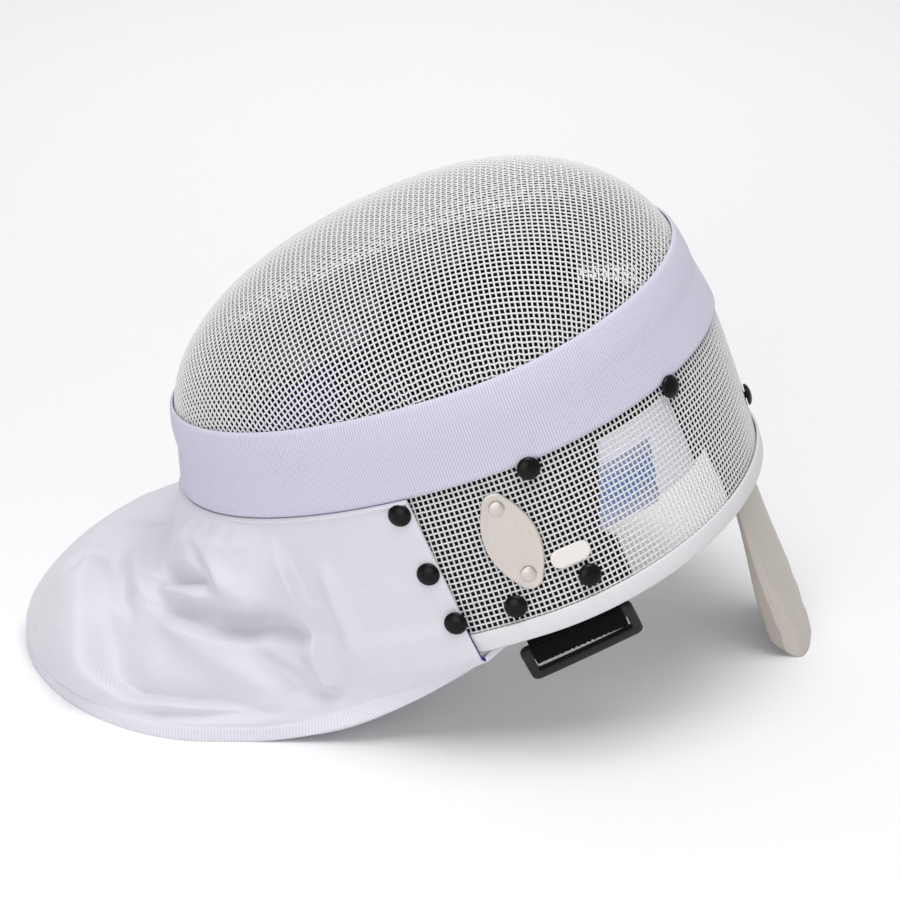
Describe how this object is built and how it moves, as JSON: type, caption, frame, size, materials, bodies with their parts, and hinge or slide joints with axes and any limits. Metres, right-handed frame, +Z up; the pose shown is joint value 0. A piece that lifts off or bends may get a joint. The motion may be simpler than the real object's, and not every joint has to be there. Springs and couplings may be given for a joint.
{
  "type": "fencing mask",
  "caption": "Fencing mask with a pressed mesh face, white trim band, cloth bib, rim binding, back tongue and side strap buckles, lying face up on its bib.",
  "frame": {"origin": "middle of the base of the overall box, on the floor the mask lies on", "axes": "+Z up, +X from the bib's tip towards the crown and tongue, +Y towards the wearer's right side"},
  "size_m": [0.4332, 0.2716, 0.2673],
  "materials": {
    "mesh_paint": "satin white paint on steel wire mesh",
    "elastic": "ribbed elastic band",
    "trim_plastic": "satin extruded edging",
    "bib_cloth": "white woven nylon",
    "lining": "dark blue lining cloth",
    "pad_cloth": "soft padded lining",
    "panel_cloth": "blue cloth panel",
    "vinyl": "soft vinyl sleeve",
    "black_cap": "glossy black cap",
    "plate_metal": "satin, bare of text",
    "label": "blank sticker",
    "webbing": "black nylon webbing",
    "buckle_plastic": "satin black plastic"
  },
  "bodies": {
    "root": {"front_mesh": "mesh_paint", "side_mesh": "mesh_paint", "trim_band": "elastic", "rim_binding": "trim_plastic", "bib": "bib_cloth", "bib_lining": "lining", "bib_hem": "bib_cloth", "head_pad": "pad_cloth", "pad_panel_left": "panel_cloth", "pad_panel_right": "panel_cloth", "tongue": "vinyl", "crown_rivet": "black_cap", "strap_loop_left": "webbing", "strap_loop_right": "webbing", "buckle_left": "buckle_plastic", "buckle_right": "buckle_plastic", "id_plate": "plate_metal", "plate_rivet_1": "plate_metal", "plate_rivet_2": "plate_metal", "blank_label": "label", "bib_rivet_top_left": "black_cap", "bib_rivet_mid_left": "black_cap", "bib_rivet_low_left": "black_cap", "band_rivet_back_left": "black_cap", "band_rivet_crown_left": "black_cap", "strap_rivet_crown_left": "black_cap", "strap_rivet_bib_left": "black_cap", "bib_rivet_top_right": "black_cap", "bib_rivet_mid_right": "black_cap", "bib_rivet_low_right": "black_cap", "band_rivet_back_right": "black_cap", "band_rivet_crown_right": "black_cap", "strap_rivet_crown_right": "black_cap", "strap_rivet_bib_right": "black_cap"}
  },
  "joints": []
}
